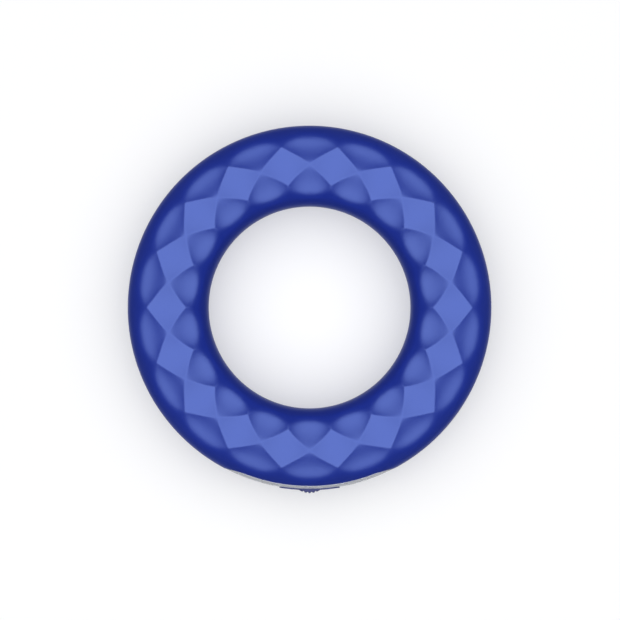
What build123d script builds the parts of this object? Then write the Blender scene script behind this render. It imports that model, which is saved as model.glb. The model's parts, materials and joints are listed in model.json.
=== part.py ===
from build123d import *
from math import cos, degrees, atan2, radians, sin, sqrt
import os

# A thick hand-held ring of soft silicone over a hard hollow core. A plated plate with a push
# button lies in the rim, and a small motor with an eccentric weight makes the ring vibrate.
# The ring lies flat: +Z is its axis, z = 0 is the plane it rests on, and the button faces -Y.
# Parts are built about the ring's middle plane and lifted by the tube radius when written.

# ---- driving dimensions, millimetres and degrees ----
RING_RADIUS = 27.2          # ring axis to the centre of the tube
TUBE_RADIUS = 7.8           # outside of the silicone
SKIN_THICKNESS = 1.55
CORE_THICKNESS = 1.2
LAYER_GAP = 0.05            # between the skin and the core

# facets in the silicone
FACET_COUNT = 18            # diamonds in one row round the ring
ROW_TILT = 28.0             # tube angle from one row's centre to the next
SCOOP_DEPTH = 0.93          # depth of a facet's centre below the round tube

# rim slot and plate
SLOT_HALF_LENGTH = 16.2
SLOT_HALF_HEIGHT = 3.27
SLOT_END_LENGTH = 4.24      # length of the rounded end
PLATE_GAP = 0.1
PLATE_OUTER = 7.75          # tube radii of the plate's faces
PLATE_INNER = 6.4
RECESS_OUTER = 7.15         # room for the button's flange behind the plate
GASKET_INSET = 0.4          # foam frame behind the plate's edge
GASKET_WIDTH = 0.4

# button
PAD_HALF_LENGTH = 5.8
PAD_HALF_HEIGHT = 1.3
PAD_OUTER = 7.95
PAD_GAP = 0.12
FLANGE_HALF_LENGTH = 6.5
FLANGE_HALF_HEIGHT = 1.65
FLANGE_OUTER = 7.1
FLANGE_INNER = 6.75
RECESS_GAP = 0.1
TRAVEL = 0.35
NUB_TOP = 35.73             # distance from the ring axis
NUB_DOME = 3.7
NUB_HALF_LENGTH = 2.0
NUB_HALF_HEIGHT = 1.15
RIB_PITCH = 0.79
RIB_GROOVES = (-1.5, -0.5, 0.5, 1.5)    # grooves between the ribs, in pitches from the middle
GROOVE_RADIUS = 0.2
PLUNGER_RADIUS = 0.8
PLUNGER_SOCKET = 0.65
PLUNGER_ROOM = 0.08         # between the plunger and the core
PLUNGER_CHAMFER = 0.15
PRESS_GAP = 0.02

# tactile switch and board, distances are from the ring axis along -Y
BOARD_INNER = 28.1
BOARD_OUTER = 29.1
BOARD_LENGTH = 20.0
BOARD_HEIGHT = 6.6
BOARD_CORNER = 0.8
BOARD_GAP = 0.05
RAIL_LENGTH = 1.8           # blocks in the core that hold the board's corners
RAIL_HEIGHT = 2.4
RAIL_EDGE = 1.1             # how far a block reaches past the board's faces
RAIL_INSET = 0.7            # from the board's end to the middle of a block
RAIL_DROP = 1.1
SWITCH_SIDE = 4.5
SWITCH_CHAMFER = 0.4
SWITCH_TOP = 30.9
STEM_RADIUS = 0.9
STEM_TOP = 31.6
STEM_LENGTH = 1.3
RUNNING_GAP = 0.05

# chips and small components, each size is length, height and thickness
CONTROL_CHIP = (4.0, 4.0, 0.9)
CONTROL_CHIP_X = 2.2
CHARGE_CHIP = (2.8, 3.0, 0.8)
CHARGE_CHIP_X = -5.6
RESISTOR = (1.0, 0.5, 0.4)
RESISTOR_PLACES = ((-2.6, 2.0), (-1.2, 2.0), (5.4, 2.0))
CAPACITOR = (0.6, 1.0, 0.4)
CAPACITOR_PLACES = ((-2.4, -2.0), (-1.2, -2.0), (5.2, -2.0), (6.4, -2.0))
DIODE = (1.6, 0.8, 0.6)
DIODE_PLACES = ((-5.0, 1.6), (5.0, 1.6))

# charging contacts and magnets
CONTACT_SPACING = 8.0       # each contact from the middle of the plate
CONTACT_RADIUS = 0.7
COLLAR_RADIUS = 1.1
MAGNET_ANGLE = 21.0
MAGNET_RADIUS = 1.5
MAGNET_THICKNESS = 0.8

# battery cell
CELL_ANGLE = -75.0
CELL_RADIUS = 4.0
CELL_LENGTH = 18.0
CELL_OFFSET = 26.45         # ring axis to the cell's axis
CELL_CHAMFER = 0.4
PAD_THICKNESS = 1.0
PAD_RADIUS = 3.4
BULKHEAD_THICKNESS = 1.0
BULKHEAD_HOLE = 2.0
LEAD_RADIUS = 0.3
CELL_LEAD_HEIGHT = 1.2
LEAD_END_X = 9.2
LEAD_END_Y = -27.7

# motor
MOTOR_ANGLE = 180.0
MOTOR_OFFSET = 26.9
CAN_RADIUS = 3.0
CAN_WALL = 0.25
CAN_REAR = -7.2
CAN_FRONT = 4.0
ENDCAP_THICKNESS = 0.8
ENDCAP_SPIGOT = 0.8         # length of the rim that sits inside the can
ENDCAP_SPIGOT_WALL = 1.0
SHAFT_RADIUS = 0.4
SHAFT_GAP = 0.03
SHAFT_FRONT = 9.4
SHAFT_REAR = -7.35
SHAFT_END_GAP = 0.1
BUSH_RADIUS = 0.9
BUSH_INSIDE = 0.9           # length inside the can's front face
BUSH_OUTSIDE = 0.4
FIELD_MAGNET_REAR = -5.9
FIELD_MAGNET_FRONT = 3.0
FIELD_MAGNET_WALL = 0.65
WEIGHT_RADIUS = 2.8
WEIGHT_REAR = 5.0
WEIGHT_LENGTH = 4.0
WEIGHT_HUB = 1.2
ARMATURE_RADIUS = 1.85
ARMATURE_REAR = -5.0
ARMATURE_LENGTH = 7.2
ARMATURE_SLOT = 0.5
ARMATURE_SLOT_HEIGHT = 1.6
ARMATURE_SLOT_TURNS = (0, 120, 240)
COMMUTATOR_RADIUS = 0.9
COMMUTATOR_LENGTH = 1.5
SLEEVE_RADIUS = 3.9
SLEEVE_REAR_INSET = 0.2     # bare can behind and in front of the sleeve
SLEEVE_FRONT_INSET = 0.8
CRADLE_PLACES = (-5.5, 0.5)
CRADLE_THICKNESS = 1.0
MOTOR_LEAD_HEIGHT = 0.6
MOTOR_LEAD_CIRCLE = 30.6
MOTOR_LEAD_LEAVES = -57.0   # polar angle where the leads turn in to the board

# joint between the core halves
TONGUE_THICKNESS = 0.5
TONGUE_HEIGHT = 0.8
GROOVE_GAP = 0.05
TONGUE_ROOT = 0.4
TONGUE_BREAK = 28.0         # length beside the rim slot without a tongue

# ---- derived radii of the layers ----
SKIN_INNER = TUBE_RADIUS - SKIN_THICKNESS
CORE_OUTER = SKIN_INNER - LAYER_GAP
CORE_INNER = CORE_OUTER - CORE_THICKNESS
OVERLAP = 0.1                   # joined shapes sink this far into each other
OVERCUT = 1.0                   # cuts run this far past a face
RIB_ROOT = CORE_INNER + OVERLAP
REACH = 60.0                    # longer than anything it cuts
SLOT_FLOOR = 27.0               # prisms through the rim start this far from the ring axis
RIM_BEYOND = 40.0               # and end this far out


# ---- helpers ----
def tube(radius):
    """A full torus about the ring axis."""
    return Torus(RING_RADIUS, radius)


def shell(outer, inner):
    """A hollow torus."""
    return tube(outer) - tube(inner)


def around(angle):
    """Turn a part built at the rim's -Y side to an angle about the ring axis."""
    return Rot(0, 0, angle)


def rim_prism(outline, start=SLOT_FLOOR, end=RIM_BEYOND):
    """An outline in X and Z pushed outwards along -Y between two distances."""
    return Pos(0, -start, 0) * extrude(Plane.XZ * outline, amount=end - start)


def cross_rod(radius, start, end, offset, height=0.0):
    """A cylinder along X at a distance from the ring axis on the -Y side."""
    middle = (start + end) / 2
    return Pos(middle, -offset, height) * Rot(0, 90, 0) * Cylinder(radius, end - start)


def cross_ring(outer, inner, start, end, offset):
    """A round sleeve along X."""
    bore = cross_rod(inner, start - OVERCUT, end + OVERCUT, offset)
    return cross_rod(outer, start, end, offset) - bore


def rim_post(radius, x, start, end):
    """A cylinder along -Y at the rim."""
    return rim_prism(Pos(x, 0) * Circle(radius), start, end)


def slot_outline(inset=0.0):
    """The rim slot: straight sides and elliptical ends."""
    middle = SLOT_HALF_LENGTH - SLOT_END_LENGTH
    height = SLOT_HALF_HEIGHT - inset
    end = Ellipse(SLOT_END_LENGTH - inset, height)
    return Rectangle(2 * middle, 2 * height) + Pos(middle, 0) * end + Pos(-middle, 0) * end


def stadium(half_length, half_height):
    return SlotOverall(2 * half_length, 2 * half_height)


def plate_across(x, thickness):
    """A rib across the tube, normal to X, rooted in the shell."""
    blank = Pos(x, -RING_RADIUS, 0) * Box(thickness, 2 * TUBE_RADIUS, 2 * TUBE_RADIUS)
    return blank & tube(RIB_ROOT)


def write(node, part):
    export_step(Pos(0, 0, TUBE_RADIUS) * part, f"parts/{node}.step")


# ---- silicone skin ----
def scoop(angle, tilt, side):
    """A cylinder that hollows one facet, at an angle from -Y. side is 1 on top, -1 underneath."""
    reach = RING_RADIUS + TUBE_RADIUS * sin(radians(tilt))
    half_width = reach * sin(radians(180 / FACET_COUNT))
    rise = SCOOP_DEPTH - half_width**2 * sin(radians(tilt)) / (2 * reach)
    radius = (half_width**2 + rise**2) / (2 * rise)
    lift = TUBE_RADIUS - SCOOP_DEPTH + radius
    along = (cos(radians(tilt)), 0, -side * sin(radians(tilt)))
    centre = (RING_RADIUS + lift * sin(radians(tilt)), 0, side * lift * cos(radians(tilt)))
    place = Plane(origin=centre, x_dir=(0, 1, 0), z_dir=along)
    return around(angle - 90) * (place * Cylinder(radius, 1.5 * TUBE_RADIUS))


def facet_scoops(side):
    step = 360 / FACET_COUNT
    middle = [scoop((i + 0.5) * step, 0, side) for i in range(FACET_COUNT)]
    outer = [scoop(i * step, ROW_TILT, side) for i in range(FACET_COUNT)]
    inner = [scoop(i * step, -ROW_TILT, side) for i in range(FACET_COUNT)]
    return middle + outer + inner


def soft_skin():
    skin = tube(TUBE_RADIUS)
    skin = skin - facet_scoops(1)
    skin = skin - facet_scoops(-1)
    skin = skin - tube(SKIN_INNER)
    return skin - rim_prism(slot_outline())


# ---- hard core ----
def tongue(radius, width, height, root):
    """A ring that stands on the split plane, centred on a radius from the ring axis."""
    band = Cylinder(radius + width / 2, height + root) - Cylinder(radius - width / 2, 2 * REACH)
    return Pos(0, 0, (height - root) / 2) * band


def joint_rings(width, height, root):
    wall = (CORE_OUTER + CORE_INNER) / 2
    outer = tongue(RING_RADIUS + wall, width, height, root)
    return outer, tongue(RING_RADIUS - wall, width, height, root)


def rim_cuts():
    """Holes through the core for the plunger and contacts, and the magnet pockets."""
    cuts = [rim_post(PLUNGER_RADIUS + PLUNGER_ROOM, 0, SWITCH_TOP, RIM_BEYOND)]
    for x in (-CONTACT_SPACING, CONTACT_SPACING):
        cuts.append(rim_post(CONTACT_RADIUS + RUNNING_GAP, x, SLOT_FLOOR, RIM_BEYOND))
    floor = RING_RADIUS + CORE_OUTER - MAGNET_THICKNESS - RUNNING_GAP
    for angle in (-MAGNET_ANGLE, MAGNET_ANGLE):
        cuts.append(around(angle) * rim_post(MAGNET_RADIUS + RUNNING_GAP, 0, floor, RIM_BEYOND))
    return cuts


def board_rails():
    """Four slotted blocks that hold the board's corners."""
    depth = BOARD_OUTER - BOARD_INNER
    board_y = -(BOARD_OUTER + BOARD_INNER) / 2
    blocks = Part()
    for x in (-1, 1):
        for z in (-1, 1):
            along = x * (BOARD_LENGTH / 2 - RAIL_INSET)
            place = Pos(along, board_y, z * (CORE_INNER - RAIL_DROP))
            blocks += place * Box(RAIL_LENGTH, depth + 2 * RAIL_EDGE, RAIL_HEIGHT)
    slot = Pos(0, board_y, 0) * Box(
        BOARD_LENGTH + 2 * BOARD_GAP, depth + 2 * BOARD_GAP, BOARD_HEIGHT + 2 * BOARD_GAP
    )
    return (blocks & tube(RIB_ROOT)) - slot


def cell_bulkheads():
    """Ribs that stop the battery cell at its two ends."""
    place = CELL_LENGTH / 2 + PAD_THICKNESS + BULKHEAD_THICKNESS / 2
    ribs = plate_across(place, BULKHEAD_THICKNESS) + plate_across(-place, BULKHEAD_THICKNESS)
    hole = cross_rod(BULKHEAD_HOLE, -REACH / 2, REACH / 2, CELL_OFFSET)
    return around(CELL_ANGLE) * (ribs - hole)


def motor_cradles():
    """Ribs with a round hole that grip the motor's rubber sleeve."""
    ribs = Part()
    for x in CRADLE_PLACES:
        ribs += plate_across(x, CRADLE_THICKNESS)
    hole = cross_rod(SLEEVE_RADIUS + PRESS_GAP, -REACH / 2, REACH / 2, MOTOR_OFFSET)
    return around(MOTOR_ANGLE) * (ribs - hole)


def core_shell():
    core = shell(CORE_OUTER, CORE_INNER)
    core = core + board_rails() + cell_bulkheads() + motor_cradles()
    return core - rim_cuts()


def core_halves():
    """The core is split at the ring's middle plane, with a tongue on the lower half."""
    core = core_shell()
    half = Box(2 * REACH, 2 * REACH, REACH)
    lower = core & Pos(0, 0, -REACH / 2) * half
    upper = core & Pos(0, 0, REACH / 2) * half
    rim_room = Pos(0, -RING_RADIUS - TUBE_RADIUS, 0) * Box(TONGUE_BREAK, 2 * TUBE_RADIUS, REACH)
    for ring in joint_rings(TONGUE_THICKNESS, TONGUE_HEIGHT, TONGUE_ROOT):
        lower += ring - rim_room
    groove_width = TONGUE_THICKNESS + 2 * GROOVE_GAP
    for groove in joint_rings(groove_width, TONGUE_HEIGHT + 2 * GROOVE_GAP, OVERCUT):
        upper -= groove
    return lower, upper


# ---- rim plate ----
def bezel():
    plate = shell(PLATE_OUTER, PLATE_INNER) & rim_prism(slot_outline(PLATE_GAP))
    recess = stadium(FLANGE_HALF_LENGTH + 2 * RECESS_GAP, FLANGE_HALF_HEIGHT + RECESS_GAP)
    plate -= tube(RECESS_OUTER) & rim_prism(recess)
    plate -= rim_prism(stadium(PAD_HALF_LENGTH + PAD_GAP, PAD_HALF_HEIGHT + PAD_GAP))
    for x in (-CONTACT_SPACING, CONTACT_SPACING):
        plate -= rim_post(COLLAR_RADIUS + PRESS_GAP, x, SLOT_FLOOR, RIM_BEYOND)
    return plate


def bezel_gasket():
    """A thin foam frame between the plate and the core."""
    frame = slot_outline(GASKET_INSET) - slot_outline(GASKET_INSET + GASKET_WIDTH)
    return shell(PLATE_INNER - PRESS_GAP, CORE_OUTER + PRESS_GAP) & rim_prism(frame)


# ---- button ----
def nub():
    """A low dome on the pad with fine ribs parallel to the ring axis."""
    centre = NUB_TOP - NUB_DOME
    dome = Pos(0, -centre, 0) * Sphere(NUB_DOME)
    dome &= rim_prism(stadium(NUB_HALF_LENGTH + OVERLAP, NUB_HALF_HEIGHT), centre)
    for place in RIB_GROOVES:
        x = place * RIB_PITCH
        round_path = sqrt(NUB_DOME**2 - x**2)
        dome -= Pos(x, -centre, 0) * Rot(0, 90, 0) * Torus(round_path, GROOVE_RADIUS)
    return dome - tube(FLANGE_OUTER)


def button_cap():
    pad = shell(PAD_OUTER, FLANGE_INNER) & rim_prism(stadium(PAD_HALF_LENGTH, PAD_HALF_HEIGHT))
    flange = shell(FLANGE_OUTER, FLANGE_INNER)
    flange &= rim_prism(stadium(FLANGE_HALF_LENGTH, FLANGE_HALF_HEIGHT))
    back = RING_RADIUS + FLANGE_INNER
    socket = rim_post(PLUNGER_RADIUS + PRESS_GAP, 0, back - OVERCUT, back + PLUNGER_SOCKET)
    return pad + flange + nub() - socket


def button_plunger():
    end = RING_RADIUS + FLANGE_INNER + PLUNGER_SOCKET - PRESS_GAP
    rod = rim_post(PLUNGER_RADIUS, 0, STEM_TOP + PRESS_GAP, end)
    return chamfer(rod.edges(), PLUNGER_CHAMFER)


def switch_body():
    case = rim_prism(Rectangle(SWITCH_SIDE, SWITCH_SIDE), BOARD_OUTER, SWITCH_TOP)
    case = chamfer(case.edges().filter_by(Axis.Y), SWITCH_CHAMFER)
    well = STEM_TOP - STEM_LENGTH - TRAVEL - 2 * RUNNING_GAP
    return case - rim_post(STEM_RADIUS + RUNNING_GAP, 0, well, RIM_BEYOND)


def switch_stem():
    return rim_post(STEM_RADIUS, 0, STEM_TOP - STEM_LENGTH, STEM_TOP)


# ---- circuit board ----
def on_board(place, size, outside=False):
    """A component on the board's inner face, or on its outer face."""
    length, height, thickness = size
    outline = Pos(*place) * Rectangle(length, height)
    if outside:
        return rim_prism(outline, BOARD_OUTER, BOARD_OUTER + thickness)
    return rim_prism(outline, BOARD_INNER - thickness, BOARD_INNER)


def circuit_board():
    outline = RectangleRounded(BOARD_LENGTH, BOARD_HEIGHT, BOARD_CORNER)
    return rim_prism(outline, BOARD_INNER, BOARD_OUTER)


def board_components():
    """Small resistors and capacitors inside, and two diodes on the outer face."""
    parts = [on_board(place, RESISTOR) for place in RESISTOR_PLACES]
    parts += [on_board(place, CAPACITOR) for place in CAPACITOR_PLACES]
    parts += [on_board(place, DIODE, True) for place in DIODE_PLACES]
    return Part() + parts


# ---- charging ----
def pair_at_contacts(radius, inner=0.0, start=BOARD_OUTER):
    parts = []
    for x in (-CONTACT_SPACING, CONTACT_SPACING):
        post = rim_post(radius, x, start, RIM_BEYOND) & tube(PLATE_OUTER)
        if inner:
            post -= rim_post(inner, x, SLOT_FLOOR, RIM_BEYOND)
            post -= tube(PLATE_INNER)
        parts.append(post)
    return Part() + parts


def charge_magnets():
    face = RING_RADIUS + CORE_OUTER - RUNNING_GAP
    disc = rim_post(MAGNET_RADIUS, 0, face - MAGNET_THICKNESS, face)
    return around(MAGNET_ANGLE) * disc + around(-MAGNET_ANGLE) * disc


# ---- battery ----
def battery_cell():
    half = CELL_LENGTH / 2
    can = cross_rod(CELL_RADIUS, -half, half, CELL_OFFSET)
    can = chamfer(can.edges().filter_by(GeomType.CIRCLE), CELL_CHAMFER)
    return around(CELL_ANGLE) * can


def battery_pads():
    """Foam rings between the cell's ends and the bulkheads."""
    half = CELL_LENGTH / 2
    front = cross_ring(PAD_RADIUS, BULKHEAD_HOLE, half, half + PAD_THICKNESS, CELL_OFFSET)
    rear = cross_ring(PAD_RADIUS, BULKHEAD_HOLE, -half - PAD_THICKNESS, -half, CELL_OFFSET)
    return around(CELL_ANGLE) * (front + rear)


def sweep_lead(path):
    start = Plane(path @ 0, z_dir=path % 0)
    return sweep(start * Circle(LEAD_RADIUS), path=path)


def battery_lead(height):
    """Both leads leave the end of the cell that faces the board."""
    start = around(CELL_ANGLE) * Pos(CELL_LENGTH / 2, -CELL_OFFSET, height)
    heading = (cos(radians(CELL_ANGLE)), sin(radians(CELL_ANGLE)), 0)
    path = TangentArc(start.position, (-LEAD_END_X, LEAD_END_Y, height), tangent=heading)
    return sweep_lead(path)


# ---- motor, built along X at the rim's -Y side and turned to its place ----
def motor_can():
    can = cross_rod(CAN_RADIUS, CAN_REAR, CAN_FRONT, MOTOR_OFFSET)
    inner = CAN_RADIUS - CAN_WALL
    can -= cross_rod(inner, CAN_REAR - OVERCUT, CAN_FRONT - 2 * CAN_WALL, MOTOR_OFFSET)
    can -= cross_rod(BUSH_RADIUS, CAN_REAR, CAN_FRONT + OVERCUT, MOTOR_OFFSET)
    return around(MOTOR_ANGLE) * can


def motor_bush():
    start = CAN_FRONT - BUSH_INSIDE
    end = CAN_FRONT + BUSH_OUTSIDE
    bush = cross_ring(BUSH_RADIUS, SHAFT_RADIUS + SHAFT_GAP, start, end, MOTOR_OFFSET)
    return around(MOTOR_ANGLE) * bush


def motor_endcap():
    inner = CAN_RADIUS - CAN_WALL - RUNNING_GAP
    cap = cross_rod(CAN_RADIUS, CAN_REAR - ENDCAP_THICKNESS, CAN_REAR, MOTOR_OFFSET)
    start = CAN_REAR - OVERLAP
    end = CAN_REAR + ENDCAP_SPIGOT
    cap += cross_ring(inner, inner - ENDCAP_SPIGOT_WALL, start, end, MOTOR_OFFSET)
    well = SHAFT_REAR - SHAFT_END_GAP
    cap -= cross_rod(SHAFT_RADIUS + SHAFT_GAP, well, CAN_REAR + OVERCUT, MOTOR_OFFSET)
    return around(MOTOR_ANGLE) * cap


def motor_field_magnet():
    outer = CAN_RADIUS - CAN_WALL - RUNNING_GAP
    inner = outer - FIELD_MAGNET_WALL
    ring = cross_ring(outer, inner, FIELD_MAGNET_REAR, FIELD_MAGNET_FRONT, MOTOR_OFFSET)
    return around(MOTOR_ANGLE) * ring


def motor_shaft():
    shaft = cross_rod(SHAFT_RADIUS, SHAFT_REAR, SHAFT_FRONT, MOTOR_OFFSET)
    return around(MOTOR_ANGLE) * shaft


def motor_armature():
    """A three-pole rotor on the shaft."""
    end = ARMATURE_REAR + ARMATURE_LENGTH
    core = cross_ring(ARMATURE_RADIUS, SHAFT_RADIUS, ARMATURE_REAR, end, MOTOR_OFFSET)
    middle = Pos((ARMATURE_REAR + end) / 2, -MOTOR_OFFSET, 0)
    slot = Pos(0, 0, ARMATURE_RADIUS) * Box(REACH, ARMATURE_SLOT, ARMATURE_SLOT_HEIGHT)
    for turn in ARMATURE_SLOT_TURNS:
        core -= middle * Rot(turn, 0, 0) * slot
    return around(MOTOR_ANGLE) * core


def motor_commutator():
    start = ARMATURE_REAR - COMMUTATOR_LENGTH
    ring = cross_ring(COMMUTATOR_RADIUS, SHAFT_RADIUS, start, ARMATURE_REAR, MOTOR_OFFSET)
    return around(MOTOR_ANGLE) * ring


def eccentric_weight():
    end = WEIGHT_REAR + WEIGHT_LENGTH
    weight = cross_rod(WEIGHT_RADIUS, WEIGHT_REAR, end, MOTOR_OFFSET)
    weight -= Pos(WEIGHT_REAR, -MOTOR_OFFSET, REACH / 2) * Box(REACH, REACH, REACH)
    weight += cross_rod(WEIGHT_HUB, WEIGHT_REAR, end, MOTOR_OFFSET)
    weight -= cross_rod(SHAFT_RADIUS, WEIGHT_REAR - OVERCUT, end + OVERCUT, MOTOR_OFFSET)
    return around(MOTOR_ANGLE) * weight


def motor_sleeve():
    start = CAN_REAR + SLEEVE_REAR_INSET
    end = CAN_FRONT - SLEEVE_FRONT_INSET
    sleeve = cross_ring(SLEEVE_RADIUS, CAN_RADIUS + PRESS_GAP, start, end, MOTOR_OFFSET)
    return around(MOTOR_ANGLE) * sleeve


def motor_lead(height):
    """From the motor's endcap round the outside of the hollow core to the board."""
    start_x = ENDCAP_THICKNESS - CAN_REAR
    slack = MOTOR_LEAD_CIRCLE - MOTOR_OFFSET
    turn = (MOTOR_LEAD_CIRCLE**2 - MOTOR_OFFSET**2 - start_x**2) / (2 * slack)
    centre = (start_x, MOTOR_OFFSET - turn)
    joins = degrees(atan2(centre[1], centre[0]))
    first = Pos(*centre, height) * CenterArc((0, 0), turn, 90, joins - 90)
    sweep_angle = MOTOR_LEAD_LEAVES - joins
    second = Pos(0, 0, height) * CenterArc((0, 0), MOTOR_LEAD_CIRCLE, joins, sweep_angle)
    last = TangentArc(second @ 1, (LEAD_END_X, LEAD_END_Y, height), tangent=second % 1)
    return sweep_lead(Wire([first.edge(), second.edge(), last.edge()]))


# ---- the assembly ----
os.makedirs("parts", exist_ok=True)
core_lower, core_upper = core_halves()
nodes = {
    "soft_skin": soft_skin(),
    "core_lower": core_lower,
    "core_upper": core_upper,
    "bezel": bezel(),
    "bezel_gasket": bezel_gasket(),
    "button_cap": button_cap(),
    "button_plunger": button_plunger(),
    "switch_body": switch_body(),
    "switch_stem": switch_stem(),
    "circuit_board": circuit_board(),
    "control_chip": on_board((CONTROL_CHIP_X, 0), CONTROL_CHIP),
    "charge_chip": on_board((CHARGE_CHIP_X, 0), CHARGE_CHIP),
    "board_components": board_components(),
    "charge_contacts": pair_at_contacts(CONTACT_RADIUS),
    "contact_collars": pair_at_contacts(COLLAR_RADIUS, CONTACT_RADIUS + PRESS_GAP),
    "charge_magnets": charge_magnets(),
    "battery_cell": battery_cell(),
    "battery_pads": battery_pads(),
    "battery_lead_positive": battery_lead(CELL_LEAD_HEIGHT),
    "battery_lead_negative": battery_lead(-CELL_LEAD_HEIGHT),
    "motor_can": motor_can(),
    "motor_bush": motor_bush(),
    "motor_endcap": motor_endcap(),
    "motor_field_magnet": motor_field_magnet(),
    "motor_shaft": motor_shaft(),
    "motor_armature": motor_armature(),
    "motor_commutator": motor_commutator(),
    "eccentric_weight": eccentric_weight(),
    "motor_sleeve": motor_sleeve(),
    "motor_lead_positive": motor_lead(MOTOR_LEAD_HEIGHT),
    "motor_lead_negative": motor_lead(-MOTOR_LEAD_HEIGHT),
}
for node, part in nodes.items():
    write(node, part)
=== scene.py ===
import json
from math import cos, pi, radians, tan

import bmesh
import bpy
import numpy as np
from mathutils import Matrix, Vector, geometry


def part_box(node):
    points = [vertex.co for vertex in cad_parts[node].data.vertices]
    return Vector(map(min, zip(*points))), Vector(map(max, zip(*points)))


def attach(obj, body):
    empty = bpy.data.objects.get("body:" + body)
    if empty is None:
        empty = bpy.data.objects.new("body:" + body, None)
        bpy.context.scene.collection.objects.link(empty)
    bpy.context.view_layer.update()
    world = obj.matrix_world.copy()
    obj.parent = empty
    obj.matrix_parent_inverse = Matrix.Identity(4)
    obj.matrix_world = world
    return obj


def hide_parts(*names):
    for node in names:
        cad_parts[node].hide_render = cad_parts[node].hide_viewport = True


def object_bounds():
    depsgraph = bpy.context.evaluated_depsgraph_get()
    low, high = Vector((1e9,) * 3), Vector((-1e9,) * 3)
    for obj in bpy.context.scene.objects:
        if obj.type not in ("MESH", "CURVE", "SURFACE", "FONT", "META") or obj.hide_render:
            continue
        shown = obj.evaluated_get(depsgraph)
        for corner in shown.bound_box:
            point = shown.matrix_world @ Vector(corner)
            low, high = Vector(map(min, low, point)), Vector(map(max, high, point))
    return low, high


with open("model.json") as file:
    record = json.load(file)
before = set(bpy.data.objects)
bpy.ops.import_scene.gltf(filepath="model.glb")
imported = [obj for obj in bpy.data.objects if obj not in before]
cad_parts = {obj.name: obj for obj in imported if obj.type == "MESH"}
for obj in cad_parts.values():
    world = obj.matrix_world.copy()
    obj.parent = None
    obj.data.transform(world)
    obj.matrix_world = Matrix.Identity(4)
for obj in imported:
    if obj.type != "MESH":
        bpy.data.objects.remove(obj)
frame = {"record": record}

# The ring lies flat about +Z, with its push button towards -Y. Angles round the ring are counted
# from -Y towards +X. Tube angles are counted from straight up, outwards from the ring's axis.
CAD_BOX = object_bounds()

# ---- sizes read from the frame, metres ----
SKIN_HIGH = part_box("soft_skin")[1]
CORE_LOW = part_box("core_lower")[0]
CORE_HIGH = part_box("core_upper")[1]
PLATE_LOW, PLATE_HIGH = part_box("bezel")
MM = 0.001
TUBE = (CORE_LOW[2] + CORE_HIGH[2]) / 2     # tube radius, and height of the middle plane
RING = SKIN_HIGH[0] - TUBE                  # ring axis to the tube's centre
PLATE_GAP = 0.1 * MM                        # between the plate and the slot
LAYER_GAP = 0.05 * MM                       # between the core and the skin
SKIN_INNER = TUBE - CORE_LOW[2] + LAYER_GAP
SLOT_HALF_LENGTH = (PLATE_HIGH[0] - PLATE_LOW[0]) / 2 + PLATE_GAP
SLOT_HALF_HEIGHT = (PLATE_HIGH[2] - PLATE_LOW[2]) / 2 + PLATE_GAP
SLOT_END_LENGTH = 4.24 * MM                 # half ellipse at each end of the slot

# ---- facets ----
FACETS = 18                     # diamonds in one row
ROWS = (-2, -1, 0, 1, 2)        # rows across the tube; the outer two are cut off at the facets' end
CORNER_TILT = 28.0              # tube angle from the top of the tube to the corners beside it
ZONE = 2 * CORNER_TILT          # tube angle where the facets end
OUTER_TILT = 24.2               # tube angle that an outer facet faces
INNER_TILT = -24.8
MIDDLE_DISH = 0.22 * MM         # how far a facet is hollowed between its straight ridges
OUTER_DISH = 0.14 * MM
INNER_DISH = 0.10 * MM
STEEPEST = radians(80)          # a facet is not needed further than this from where it faces
RIDGE_SOFT = 0.03 * MM          # rounding between two facets
SOFT_AT = (-50, -38, -28, -16, 0, 16, 28, 38, 50)      # tube angles, and the rounding there
SOFT_BY = tuple(k * MM for k in (0.22, 0.14, 0.05, 0.04, 0.12, 0.04, 0.04, 0.16, 0.26))
RIDGE_STEPS = 16                # mesh steps across a facet
FLANK_STEPS = 14
CLUSTER = 0.8                   # how far mesh lines crowd towards the ridges
LIP = 0.3 * MM                  # rounding of the slot's edge
LIP_STEPS = 5
WALL_STEPS = 3
PATCH_STEPS = 10
PATCH_CROWD = 1.4               # how far the patch crowds towards the slot
PLATE_OUTER = 7.75 * MM         # tube radii of the rim plate's face and of its back
PLATE_BACK = 7.15 * MM
PLATE_GRID = 0.45 * MM
PLATE_POINTS = 160              # mesh points round the plate, the pad's opening and a pin's hole
PAD_POINTS = 72
PIN_POINTS = 36
OPENING_HALF_LENGTH = 5.92 * MM
OPENING_HALF_HEIGHT = 1.42 * MM
PIN_HOLE = 1.12 * MM
PIN_X = 8.0 * MM
EDGE_ROUND = 0.12 * MM
EDGE_STEPS = 4
PATCH_REACH = 2                 # the slot's mesh patch spans this many facets each way
CORNER = 0.085                  # share of the half outline from its end to the patch's corner
OUTLINE_STEPS = 400             # points on one end of the slot, before resampling
WELD = 1e7                      # points closer than about one part of this many of a metre meet
NEAR = 1e-6                     # tolerance in degrees of tube angle, and in mm on the plate


def hollow(along, across):
    """1 at the middle of a diamond, 0 on its edges and less outside."""
    return np.maximum((1 - (along + across) ** 2) * (1 - (along - across) ** 2), -1)


def middle_facet(share, phi):
    """Tube radius of a top facet, flat across the tube. share runs to 1 at its side corners."""
    floor = TUBE * cos(radians(CORNER_TILT))
    return (floor + (TUBE - floor) * share**2) / np.cos(np.clip(phi, -STEEPEST, STEEPEST))


def side_facet(share, phi, tilt, dish):
    """Tube radius of a facet beside the top row, which meets it along straight ridges."""
    edge = radians(CORNER_TILT) * np.sign(tilt) * share
    edge_radius = middle_facet(1 - share, edge)
    across = np.abs(phi) / radians(CORNER_TILT) - 1
    lift = edge_radius * np.cos(edge - tilt) - dish * hollow(share, across)
    return lift / np.cos(np.clip(phi - tilt, -STEEPEST, STEEPEST))


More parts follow.
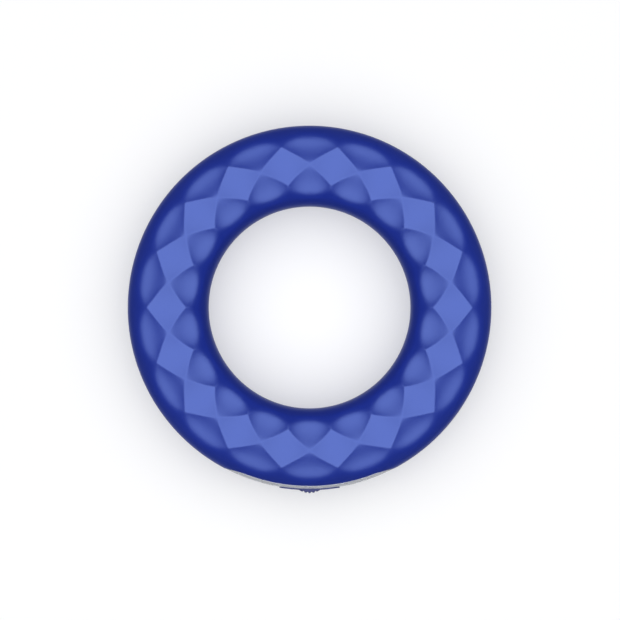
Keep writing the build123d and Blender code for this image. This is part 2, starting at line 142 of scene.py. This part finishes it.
def soft_min(values, soft):
    """The lowest of several values, rounded where two of them are close."""
    low = np.min(values, axis=0)
    return low - soft * np.log(np.sum(np.exp((low - values) / soft), axis=0))


def skin_radius(a, phi):
    """Outer tube radius at a facets round the ring and tube angle phi in degrees."""
    folded = np.radians((phi + 180) % 360 - 180)
    folded = np.where(np.abs(folded) > pi / 2, np.sign(folded) * (pi - np.abs(folded)), folded)
    middle = 2 * np.abs(a - np.floor(a) - 0.5)
    second = 2 * np.abs(a - np.round(a))
    dip = MIDDLE_DISH * hollow(middle, folded / radians(CORNER_TILT))
    cuts = [middle_facet(middle, folded) - dip]
    cuts.append(side_facet(second, folded, radians(OUTER_TILT), OUTER_DISH))
    cuts.append(side_facet(second, folded, radians(INNER_TILT), INNER_DISH))
    facets = soft_min(np.array(cuts), RIDGE_SOFT)
    soft = np.interp(np.degrees(folded), SOFT_AT, SOFT_BY)
    return soft_min(np.array([facets, np.full_like(facets, TUBE)]), soft)


def torus_points(a, phi, radius):
    """Points at a facets round the ring, tube angle phi in degrees and a tube radius."""
    theta = a * 2 * pi / FACETS
    p = np.radians(phi)
    rho = RING + radius * np.sin(p)
    z = TUBE + radius * np.cos(p)
    return np.stack([rho * np.sin(theta), -rho * np.cos(theta), z], axis=-1)


# ---- slot outline ----
def slot_outline(along, offset):
    """Points on the slot's upper half in X and Z, by share of the way round from -X to +X."""
    middle = SLOT_HALF_LENGTH - SLOT_END_LENGTH
    turn = np.linspace(pi, pi / 2, OUTLINE_STEPS)
    left = np.stack([(SLOT_END_LENGTH + offset) * np.cos(turn) - middle,
                     (SLOT_HALF_HEIGHT + offset) * np.sin(turn)], axis=-1)
    right = left[::-1] * (-1, 1)
    line = np.concatenate([left, right])
    run = np.concatenate([[0], np.cumsum(np.linalg.norm(np.diff(line, axis=0), axis=1))])
    at = along * run[-1]
    return np.stack([np.interp(at, run, line[:, 0]), np.interp(at, run, line[:, 1])], axis=-1)


def slot_loop(offset, top, side):
    """The outline as a closed loop that matches the patch's border, top row first."""
    over = slot_outline(CORNER + (1 - 2 * CORNER) * top, offset)
    end = np.abs(2 * side - 1)
    right = slot_outline(1 - CORNER * end, offset)
    right = right * np.stack([np.ones_like(side), np.where(side > 0.5, -1, 1)], axis=-1)
    under = (over * (1, -1))[::-1]
    left = (right * (-1, 1))[::-1]
    return np.concatenate([over[:-1], right[:-1], under[:-1], left[:-1]])


def loop_angles(loop, radius):
    """Facet count and tube angle of points in X and Z on a torus."""
    lift = np.arcsin(loop[:, 1] / radius)
    rho = RING + radius * np.cos(lift)
    return np.arcsin(loop[:, 0] / rho) * FACETS / (2 * pi), 90 - np.degrees(lift)


def rim_points(loop, radius, sink=0.0):
    """Points in X and Z carried along Y on to a torus, and sunk below it."""
    rho = RING + np.sqrt(radius**2 - loop[:, 1] ** 2)
    y = -np.sqrt(rho**2 - loop[:, 0] ** 2) + sink
    return np.stack([loop[:, 0], y, TUBE + loop[:, 1]], axis=-1)


# ---- mesh building ----
class Builder:
    """Collects points and faces, and shares points that meet."""

    def __init__(self):
        self.points = []
        self.index = {}
        self.faces = []

    def add(self, points):
        ids = []
        for p in points.reshape(-1, 3):
            key = (round(p[0] * WELD), round(p[1] * WELD), round(p[2] * WELD))
            if key not in self.index:
                self.index[key] = len(self.points)
                self.points.append(p)
            ids.append(self.index[key])
        return np.array(ids).reshape(points.shape[:-1])

    def quads(self, ids):
        for i in range(ids.shape[0] - 1):
            for j in range(ids.shape[1] - 1):
                face = [ids[i, j], ids[i + 1, j], ids[i + 1, j + 1], ids[i, j + 1]]
                self.face(face)

    def face(self, corners):
        ring = [c for k, c in enumerate(corners) if c != corners[k - 1]]
        if len(set(ring)) > 2:
            self.faces.append(ring)

    def rings(self, loops):
        """Bridge closed loops of equal length."""
        for one, two in zip(loops[:-1], loops[1:]):
            for k in range(len(one)):
                self.face([one[k - 1], one[k], two[k], two[k - 1]])

    def make(self, name):
        mesh = bpy.data.meshes.new(name)
        mesh.from_pydata([tuple(p) for p in self.points], [], self.faces)
        work = bmesh.new()
        work.from_mesh(mesh)
        bmesh.ops.recalc_face_normals(work, faces=work.faces)
        work.to_mesh(mesh)
        work.free()
        mesh.shade_smooth()
        piece = bpy.data.objects.new(name, mesh)
        bpy.context.collection.objects.link(piece)
        return piece


def ridge_steps():
    """Shares of a facet's width, crowded towards its ridges."""
    even = np.linspace(0, 1, RIDGE_STEPS + 1)
    return (1 - CLUSTER) * even + CLUSTER * (1 - np.cos(pi * even)) / 2


def facet_zone(build, under):
    """Diamond cells whose mesh lines run along the ridges."""
    t = ridge_steps()
    for cell_a in range(FACETS):
        for row in ROWS:
            centre_a = cell_a + (0.5 if row % 2 == 0 else 0.0)
            first = centre_a + row / 2 - 0.5
            last = centre_a - row / 2 - 0.5
            p, q = np.meshgrid(first + t, last + t, indexing="ij")
            a = (p + q) / 2
            phi = (p - q) / 2 * ZONE
            angle = 180 - phi if under else phi
            ids = build.add(torus_points(a, angle, skin_radius(a, angle)))
            for i in range(RIDGE_STEPS):
                for j in range(RIDGE_STEPS):
                    quad = [(i, j), (i + 1, j), (i + 1, j + 1), (i, j + 1)]
                    kept = [c for c in quad if abs(phi[c]) <= ZONE + NEAR]
                    if len(kept) > 2:
                        build.face([ids[c] for c in kept])


def columns(first, last):
    """Mesh lines round the ring, in facets, crowded where ridges meet the flanks."""
    t = ridge_steps()
    line = np.concatenate([k + t[:-1] for k in range(first, last)])
    return np.append(line, last)


def slot_patch(build, offset, radius):
    """Mesh between the slot's outline and the patch's border. Returns the inner loop."""
    top_a = columns(-PATCH_REACH, PATCH_REACH)
    side_phi = np.linspace(ZONE, 180 - ZONE, FLANK_STEPS + 1)
    top = (top_a + PATCH_REACH) / (2 * PATCH_REACH)
    side = (side_phi - ZONE) / (180 - 2 * ZONE)
    loop = slot_loop(offset, top, side)
    slot_a, slot_phi = loop_angles(loop, TUBE if radius is None else radius)
    border_a = np.concatenate([top_a[:-1], np.full(FLANK_STEPS, PATCH_REACH),
                               top_a[:0:-1], np.full(FLANK_STEPS, -PATCH_REACH)])
    border_phi = np.concatenate([np.full(len(top_a) - 1, ZONE), side_phi[:-1],
                                 np.full(len(top_a) - 1, 180 - ZONE), side_phi[:0:-1]])
    loops = []
    for step in range(PATCH_STEPS + 1):
        share = (step / PATCH_STEPS) ** PATCH_CROWD
        a = slot_a + (border_a - slot_a) * share
        phi = slot_phi + (border_phi - slot_phi) * share
        tube = skin_radius(a, phi) if radius is None else radius
        loops.append(build.add(torus_points(a, phi, tube)))
    build.rings(loops)
    return loop, loops[0]


def flank(build, low, high, first, last, radius):
    """A band between two tube angles. Without a radius it follows the outer skin."""
    angles = np.linspace(low, high, FLANK_STEPS + 1)
    a, phi = np.meshgrid(columns(first, last), angles, indexing="ij")
    tube = skin_radius(a, phi) if radius is None else radius
    build.quads(build.add(torus_points(a, phi, tube)))


def make_skin():
    """The faceted outside, the plain inside, and the slot's rounded wall between them."""
    build = Builder()
    facet_zone(build, False)
    facet_zone(build, True)
    flank(build, ZONE, 180 - ZONE, PATCH_REACH, FACETS - PATCH_REACH, None)
    flank(build, -ZONE, ZONE - 180, 0, FACETS, None)
    loop, mouth = slot_patch(build, LIP, None)
    flank(build, ZONE, 180 - ZONE, PATCH_REACH, FACETS - PATCH_REACH, SKIN_INNER)
    for low, high in ((-ZONE, ZONE), (180 - ZONE, 180 + ZONE), (-ZONE, ZONE - 180)):
        flank(build, low, high, 0, FACETS, SKIN_INNER)
    _, floor = slot_patch(build, 0.0, SKIN_INNER)
    top = (columns(-PATCH_REACH, PATCH_REACH) + PATCH_REACH) / (2 * PATCH_REACH)
    side = np.linspace(0, 1, FLANK_STEPS + 1)
    loops = [mouth]
    for step in range(1, LIP_STEPS + 1):
        turn = pi / 2 * step / LIP_STEPS
        edge = slot_loop(LIP * (1 - np.sin(turn)), top, side)
        loops.append(build.add(rim_points(edge, TUBE, LIP * (1 - np.cos(turn)))))
    edge = slot_loop(0.0, top, side)
    high = rim_points(edge, TUBE, LIP)
    low = rim_points(edge, SKIN_INNER)
    for step in range(1, WALL_STEPS):
        loops.append(build.add(high + (low - high) * step / WALL_STEPS))
    loops.append(floor)
    build.rings(loops)
    return build.make("soft_skin_facets")


# ---- rim plate ----
def even_loop(corners, count):
    """A closed polyline resampled to points at even distances."""
    line = np.concatenate([corners, corners[:1]])
    run = np.concatenate([[0], np.cumsum(np.linalg.norm(np.diff(line, axis=0), axis=1))])
    at = np.arange(count) / count * run[-1]
    return np.stack([np.interp(at, run, line[:, 0]), np.interp(at, run, line[:, 1])], axis=-1)


def plate_edge(inset):
    """The plate's outline in X and Z, drawn in by inset."""
    half = slot_outline(np.linspace(0, 1, PLATE_POINTS // 2 + 1), -PLATE_GAP - inset)
    return np.concatenate([half[:-1], (half * (1, -1))[:0:-1]])


def pad_edge(inset):
    """The opening for the button's pad, opened up by inset."""
    turn = np.linspace(-pi / 2, pi / 2, PAD_POINTS // 2)
    end = (OPENING_HALF_HEIGHT + inset) * np.stack([np.cos(turn), np.sin(turn)], axis=-1)
    end = end + (OPENING_HALF_LENGTH - OPENING_HALF_HEIGHT, 0)
    return even_loop(np.concatenate([end, -end]), PAD_POINTS)


def pin_edge(x):
    """A charging pin's hole, as a function of how far it is opened up."""
    def edge(inset):
        turn = np.arange(PIN_POINTS) / PIN_POINTS * 2 * pi
        return (PIN_HOLE + inset) * np.stack([np.cos(turn), np.sin(turn)], axis=-1) + (x, 0)
    return edge


def inside(loop, points):
    """Which points lie inside a closed loop, by counting crossings."""
    x1, z1 = loop.T
    x2, z2 = np.roll(loop, -1, axis=0).T
    x, z = points[:, :1], points[:, 1:]
    level = (z1 > z) != (z2 > z)
    cross = x1 + (z - z1) / np.where(z2 == z1, 1, z2 - z1) * (x2 - x1)
    return (level & (x < cross)).sum(axis=1) % 2 == 1


def on_plate(points, edges):
    """Which points lie inside the first loop and outside the others."""
    kept = inside(edges[0], points)
    for edge in edges[1:]:
        kept &= ~inside(edge, points)
    return kept


def make_plate():
    """The plate's face, rounded edges and holes, as thick as it is over the button's flange."""
    shapes = [plate_edge, pad_edge, pin_edge(-PIN_X), pin_edge(PIN_X)]
    fronts = [shape(EDGE_ROUND) for shape in shapes]
    border = np.concatenate(fronts)
    x = np.arange(-SLOT_HALF_LENGTH, SLOT_HALF_LENGTH, PLATE_GRID)
    z = np.arange(-SLOT_HALF_HEIGHT, SLOT_HALF_HEIGHT, PLATE_GRID)
    grid = np.stack(np.meshgrid(x, z), axis=-1).reshape(-1, 2)
    gap = np.linalg.norm(grid[:, None] - border[None], axis=2).min(axis=1)
    grid = grid[on_plate(grid, fronts) & (gap > PLATE_GRID / 2)]
    points = np.concatenate([border, grid])
    starts = np.cumsum([0] + [len(front) for front in fronts])
    limits = []
    for start, end in zip(starts[:-1], starts[1:]):
        limits += [(k, k + 1 if k + 1 < end else start) for k in range(start, end)]
    flat = [Vector((px / MM, pz / MM)) for px, pz in points]
    found = geometry.delaunay_2d_cdt(flat, limits, [], 1, NEAR)
    source = [origin[0] for origin in found[3]]
    triangles = np.array([[source[k] for k in face] for face in found[2]])
    triangles = triangles[on_plate(points[triangles].mean(axis=1), fronts)]
    build = Builder()
    back = np.concatenate([shape(0) for shape in shapes] + [grid])
    front_ids = build.add(rim_points(points, PLATE_OUTER))
    back_ids = build.add(rim_points(back, PLATE_BACK))
    for corners in triangles:
        build.face(list(front_ids[corners]))
        build.face(list(back_ids[corners]))
    for shape, start, end in zip(shapes, starts[:-1], starts[1:]):
        loops = [front_ids[start:end]]
        for step in range(1, EDGE_STEPS + 1):
            turn = pi / 2 * step / EDGE_STEPS
            edge = shape(EDGE_ROUND * (1 - np.sin(turn)))
            sink = EDGE_ROUND * (1 - np.cos(turn))
            loops.append(build.add(rim_points(edge, PLATE_OUTER, sink)))
        loops.append(back_ids[start:end])
        build.rings(loops)
    return build.make("rim_plate")


# ---- materials ----
GRAIN_DETAIL = 3.0
CLOUD_DETAIL = 4.0
ROUGHNESS_SCALE = 2.3    # the roughness wanders on a finer scale than the colour


def material(name, colour, roughness, metallic=0.0, **sockets):
    made = bpy.data.materials.new(name)
    made.use_nodes = True
    shader = made.node_tree.nodes["Principled BSDF"]
    shader.inputs["Base Color"].default_value = (*colour, 1)
    shader.inputs["Roughness"].default_value = roughness
    shader.inputs["Metallic"].default_value = metallic
    for socket, value in sockets.items():
        shader.inputs[socket.replace("_", " ")].default_value = value
    return made


def node(made, kind, **inputs):
    new = made.node_tree.nodes.new(kind)
    for socket, value in inputs.items():
        new.inputs[socket.replace("_", " ")].default_value = value
    return new


def join(made, source, output, target, socket):
    made.node_tree.links.new(source.outputs[output], target.inputs[socket])


def noise(made, scale, detail=CLOUD_DETAIL, stretch=(1, 1, 1)):
    """Noise in the object's own metres."""
    place = made.node_tree.nodes.new("ShaderNodeTexCoord")
    mapping = node(made, "ShaderNodeMapping", Scale=stretch)
    cloud = node(made, "ShaderNodeTexNoise", Scale=scale, Detail=detail)
    join(made, place, "Object", mapping, "Vector")
    join(made, mapping, "Vector", cloud, "Vector")
    return cloud


def ramp(made, source, low, high, start=0.3, end=0.7):
    """Two colours or greys across a noise."""
    scale = made.node_tree.nodes.new("ShaderNodeValToRGB")
    scale.color_ramp.elements[0].position = start
    scale.color_ramp.elements[1].position = end
    scale.color_ramp.elements[0].color = (*low, 1)
    scale.color_ramp.elements[1].color = (*high, 1)
    join(made, source, "Fac", scale, "Fac")
    return scale


def surface(made, colours, roughness, scale, bump_scale, bump, stretch=(1, 1, 1)):
    """Colour and roughness that wander slightly, and a fine grain."""
    shader = made.node_tree.nodes["Principled BSDF"]
    cloud = noise(made, scale)
    join(made, ramp(made, cloud, *colours), "Color", shader, "Base Color")
    greys = [(value,) * 3 for value in roughness]
    wear = ramp(made, noise(made, scale * ROUGHNESS_SCALE), *greys)
    join(made, wear, "Color", shader, "Roughness")
    grain = noise(made, bump_scale, GRAIN_DETAIL, stretch)
    relief = node(made, "ShaderNodeBump", Strength=1.0, Distance=bump)
    join(made, grain, "Fac", relief, "Height")
    join(made, relief, "Normal", shader, "Normal")
    return made


def wander(colour, share):
    """A colour a little darker, and a little lighter."""
    low = tuple(c * (1 - share) for c in colour)
    high = tuple(min(1, c * (1 + share)) for c in colour)
    return low, high


SILICONE = (0.008, 0.0235, 0.300)
SHEEN_TINT = (0.35, 0.5, 1, 1)


def silicone():
    """Soft-touch blue, with a tinted sheen that is stronger than real silicone's."""
    made = material("silicone", SILICONE, 0.45,
                    IOR=2.0, Specular_IOR_Level=0.9, Specular_Tint=SHEEN_TINT)
    return surface(made, wander(SILICONE, 0.03), roughness=(0.31, 0.35),
                   scale=60.0, bump_scale=9000.0, bump=0.004 * MM)


PLATING = (0.79, 0.81, 0.86)
PLATING_DARK = (0.77, 0.79, 0.84)
PLATING_LIGHT = (0.81, 0.83, 0.88)


def plating():
    """Satin silver on plastic, half way between paint and metal."""
    made = material("silver_plating", PLATING, 0.25, metallic=0.4)
    return surface(made, (PLATING_DARK, PLATING_LIGHT), roughness=(0.24, 0.32),
                   scale=90.0, bump_scale=1500.0, bump=0.0003 * MM)


COLOUR_SPREAD = 0.06


def plastic(name, colour, roughness):
    made = material(name, colour, roughness)
    return surface(made, wander(colour, COLOUR_SPREAD), roughness=(roughness, roughness + 0.06),
                   scale=120.0, bump_scale=5000.0, bump=0.004 * MM)


def metal(name, colour, roughness):
    """Machined metal, with its grain drawn out across X."""
    made = material(name, colour, roughness, metallic=0.8)
    return surface(made, wander(colour, COLOUR_SPREAD), roughness=(roughness, roughness + 0.1),
                   scale=150.0, bump_scale=3000.0, bump=0.003 * MM, stretch=(6, 1, 1))


def dress(name, made):
    """Gives a CAD node its material, and leaves its mesh as it is."""
    for slot in bpy.data.objects[name].material_slots:
        slot.material = made


# The pieces inside and the small ones at the rim: kind, colour and roughness.
HIDDEN = {
    "core_plastic": (plastic, (0.80, 0.80, 0.77), 0.45),
    "foam": (plastic, (0.05, 0.05, 0.05), 0.9),
    "white_plastic": (plastic, (0.80, 0.80, 0.78), 0.3),
    "black_plastic": (plastic, (0.03, 0.03, 0.03), 0.4),
    "board_green": (plastic, (0.02, 0.20, 0.08), 0.3),
    "component_tan": (plastic, (0.42, 0.30, 0.18), 0.4),
    "contact_gold": (metal, (0.93, 0.72, 0.34), 0.35),
    "magnet_nickel": (metal, (0.66, 0.66, 0.63), 0.25),
    "cell_wrap": (plastic, (0.06, 0.28, 0.55), 0.25),
    "wire_red": (plastic, (0.55, 0.02, 0.02), 0.35),
    "wire_black": (plastic, (0.015, 0.015, 0.015), 0.35),
    "motor_steel": (metal, (0.58, 0.58, 0.57), 0.3),
    "bush_brass": (metal, (0.68, 0.50, 0.22), 0.3),
    "ferrite": (plastic, (0.07, 0.07, 0.07), 0.6),
    "armature_steel": (metal, (0.40, 0.37, 0.34), 0.4),
    "weight_metal": (metal, (0.47, 0.47, 0.49), 0.4),
    "sleeve_rubber": (plastic, (0.03, 0.03, 0.03), 0.7),
}


def dress_frame():
    finish = {name: kind(name, colour, rough) for name, (kind, colour, rough) in HIDDEN.items()}
    finish["silver_plating"] = plating()
    finish["button_plastic"] = plastic("button_plastic", (0.035, 0.045, 0.2), 0.4)
    finish["silicone"] = silicone()
    for part in frame["record"]["subparts"]:
        dress(part["node"], finish[part["material_slot"]])
    return finish


finish = dress_frame()
plate = make_plate()
plate.data.materials.append(finish["silver_plating"])
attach(plate, "ring")
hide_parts("bezel")
skin = make_skin()
skin.data.materials.append(finish["silicone"])
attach(skin, "ring")
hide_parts("soft_skin")


# ---- floor, lights and camera ----
VIEW_WIDTH = 119.35 * MM        # width of the view at the ring's middle plane
LENS = 170.0
SENSOR = 36.0
CAMERA_X = 0.08 * MM
CAMERA_Y = -0.48 * MM
LIGHT_HEIGHT = 1.0
LIGHT_HALF_ANGLE = 54.0
LIGHT_RADIANCE = 1.6
BACKDROP = (0.95, 0.95, 0.95)
FLOOR_REACH = 3.0
FLOOR_PALE = (0.62, 0.62, 0.62)
FLOOR_SPREAD = 0.01
FLOOR_CLOUD = 3.0
FLOOR_GLOW = 0.33               # lifts the shadow round the ring, as a lit table does
ROOM_GLOW = (0.035, 0.04, 0.055)
TABLE_GLOW = (0.55, 0.55, 0.55)
TABLE_FROM = -0.70              # where the table starts, as the Z of a direction
MIX_A, MIX_B, MIX_RESULT = 6, 7, 2      # colour sockets of a Mix node, whose names repeat


def make_floor():
    """A pale table that glows a little. Reflections don't see it."""
    mesh = bpy.data.meshes.new("floor")
    level = CAD_BOX[0][2]
    corners = [(x * FLOOR_REACH, y * FLOOR_REACH, level)
               for x, y in ((-1, -1), (1, -1), (1, 1), (-1, 1))]
    mesh.from_pydata(corners, [], [(0, 1, 2, 3)])
    floor = bpy.data.objects.new("floor", mesh)
    bpy.context.collection.objects.link(floor)
    made = material("floor_paper", FLOOR_PALE, 0.9, Specular_IOR_Level=0.1)
    shader = made.node_tree.nodes["Principled BSDF"]
    shader.inputs["Emission Color"].default_value = (1, 1, 1, 1)
    shader.inputs["Emission Strength"].default_value = FLOOR_GLOW
    paper = ramp(made, noise(made, FLOOR_CLOUD), *wander(FLOOR_PALE, FLOOR_SPREAD))
    join(made, paper, "Color", shader, "Base Color")
    mesh.materials.append(made)
    floor.visible_glossy = False


def softbox():
    """A round light overhead, wide enough to wrap the tube in an even sheen."""
    radius = LIGHT_HEIGHT * tan(radians(LIGHT_HALF_ANGLE))
    data = bpy.data.lights.new("softbox", "AREA")
    data.shape = "DISK"
    data.size = 2 * radius
    data.energy = LIGHT_RADIANCE * pi * (pi * radius**2)    # watts of an even disk
    lamp = bpy.data.objects.new("softbox", data)
    lamp.location = (0, 0, LIGHT_HEIGHT)
    bpy.context.collection.objects.link(lamp)


def studio():
    """Pale surroundings for the camera. Reflections see a dim room over a brighter table."""
    world = bpy.data.worlds.new("studio")
    world.use_nodes = True
    tree = world.node_tree
    seen = tree.nodes["Background"]
    seen.inputs["Color"].default_value = (*BACKDROP, 1)
    place = tree.nodes.new("ShaderNodeTexCoord")
    split = tree.nodes.new("ShaderNodeSeparateXYZ")
    height = tree.nodes.new("ShaderNodeMapRange")
    height.inputs["From Min"].default_value = TABLE_FROM
    height.inputs["From Max"].default_value = -1.0
    shade = tree.nodes.new("ShaderNodeMix")
    shade.data_type = "RGBA"
    shade.inputs[MIX_A].default_value = (*ROOM_GLOW, 1)
    shade.inputs[MIX_B].default_value = (*TABLE_GLOW, 1)
    glow = tree.nodes.new("ShaderNodeBackground")
    path = tree.nodes.new("ShaderNodeLightPath")
    mix = tree.nodes.new("ShaderNodeMixShader")
    tree.links.new(place.outputs["Generated"], split.inputs["Vector"])
    tree.links.new(split.outputs["Z"], height.inputs["Value"])
    tree.links.new(height.outputs["Result"], shade.inputs["Factor"])
    tree.links.new(shade.outputs[MIX_RESULT], glow.inputs["Color"])
    tree.links.new(path.outputs["Is Camera Ray"], mix.inputs["Fac"])
    tree.links.new(glow.outputs["Background"], mix.inputs[1])
    tree.links.new(seen.outputs["Background"], mix.inputs[2])
    tree.links.new(mix.outputs["Shader"], tree.nodes["World Output"].inputs["Surface"])
    bpy.context.scene.world = world


def make_camera():
    """Straight above the ring, a little off its axis."""
    data = bpy.data.cameras.new("camera")
    data.lens = LENS
    data.sensor_width = SENSOR
    data.clip_start = 0.01
    camera = bpy.data.objects.new("camera", data)
    camera.location = (CAMERA_X, CAMERA_Y, TUBE + VIEW_WIDTH * LENS / SENSOR)
    bpy.context.collection.objects.link(camera)
    bpy.context.scene.camera = camera


make_floor()
softbox()
studio()
make_camera()
bpy.context.scene.view_settings.view_transform = "Standard"
